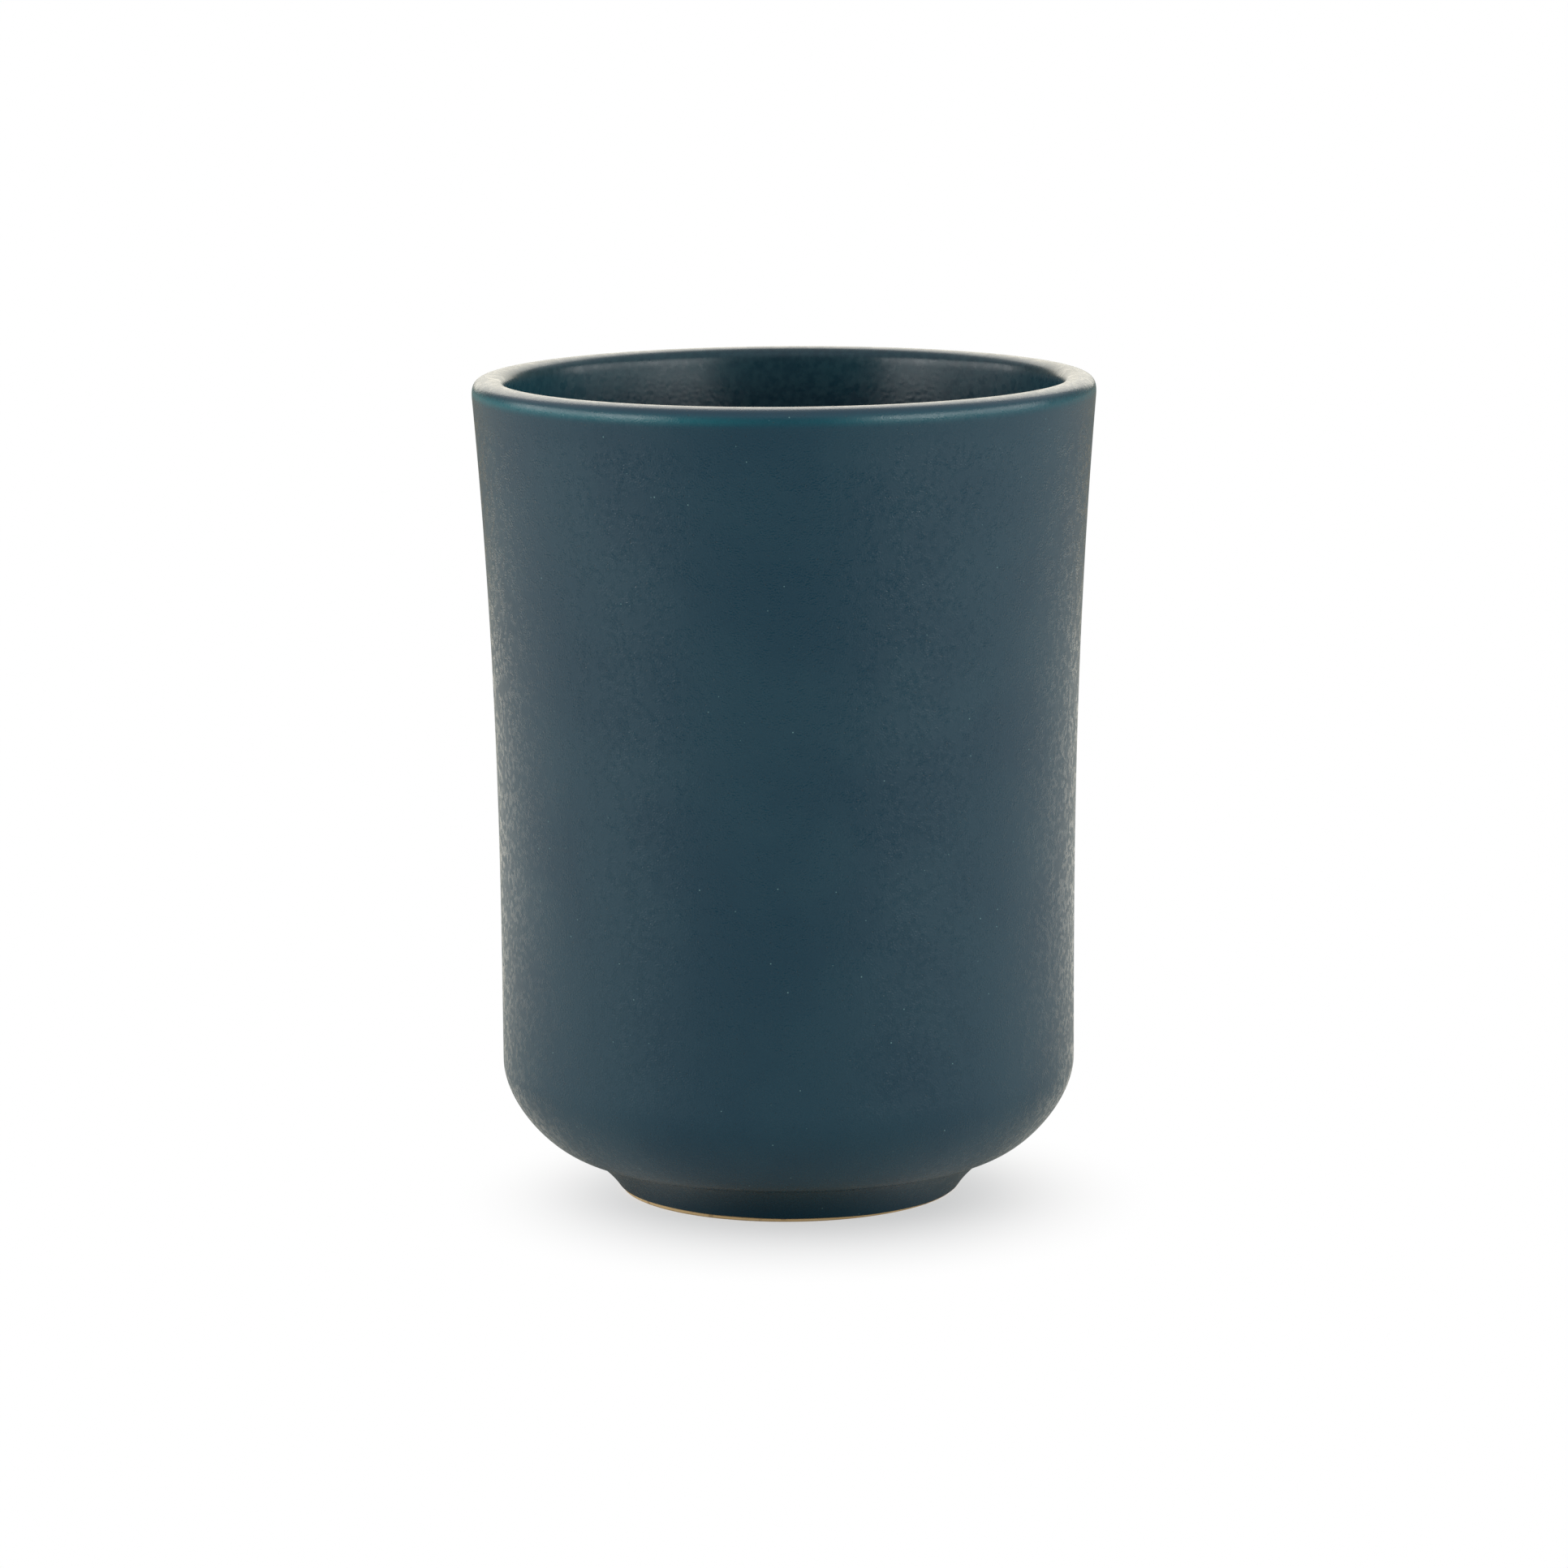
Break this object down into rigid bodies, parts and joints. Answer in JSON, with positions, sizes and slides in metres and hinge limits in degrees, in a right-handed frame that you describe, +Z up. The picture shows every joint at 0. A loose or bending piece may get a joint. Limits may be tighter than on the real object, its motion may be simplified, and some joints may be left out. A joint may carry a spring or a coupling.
{
  "type": "tea mug",
  "caption": "Handleless glazed stoneware tea mug with a gently flaring wall, a rounded lip and underbody, and a hollow-sided foot ring that it stands on.",
  "frame": {"origin": "centre of the foot ring, on the plane that the mug stands on", "axes": "+Z up along the mug's axis of turning; the picture looks along +Y"},
  "size_m": [0.079, 0.079, 0.105],
  "materials": {
    "stoneware": "bare buff stoneware, sponged smooth",
    "outer_glaze": "satin blue-grey glaze with pale specks, breaking teal at the lip",
    "liner_glaze": "satin dark blue-grey glaze with pale specks"
  },
  "bodies": {
    "root": {"stoneware_body": "stoneware", "foot_ring": "stoneware", "outer_glaze": "outer_glaze", "liner_glaze": "liner_glaze", "well_glaze": "outer_glaze"}
  },
  "joints": []
}
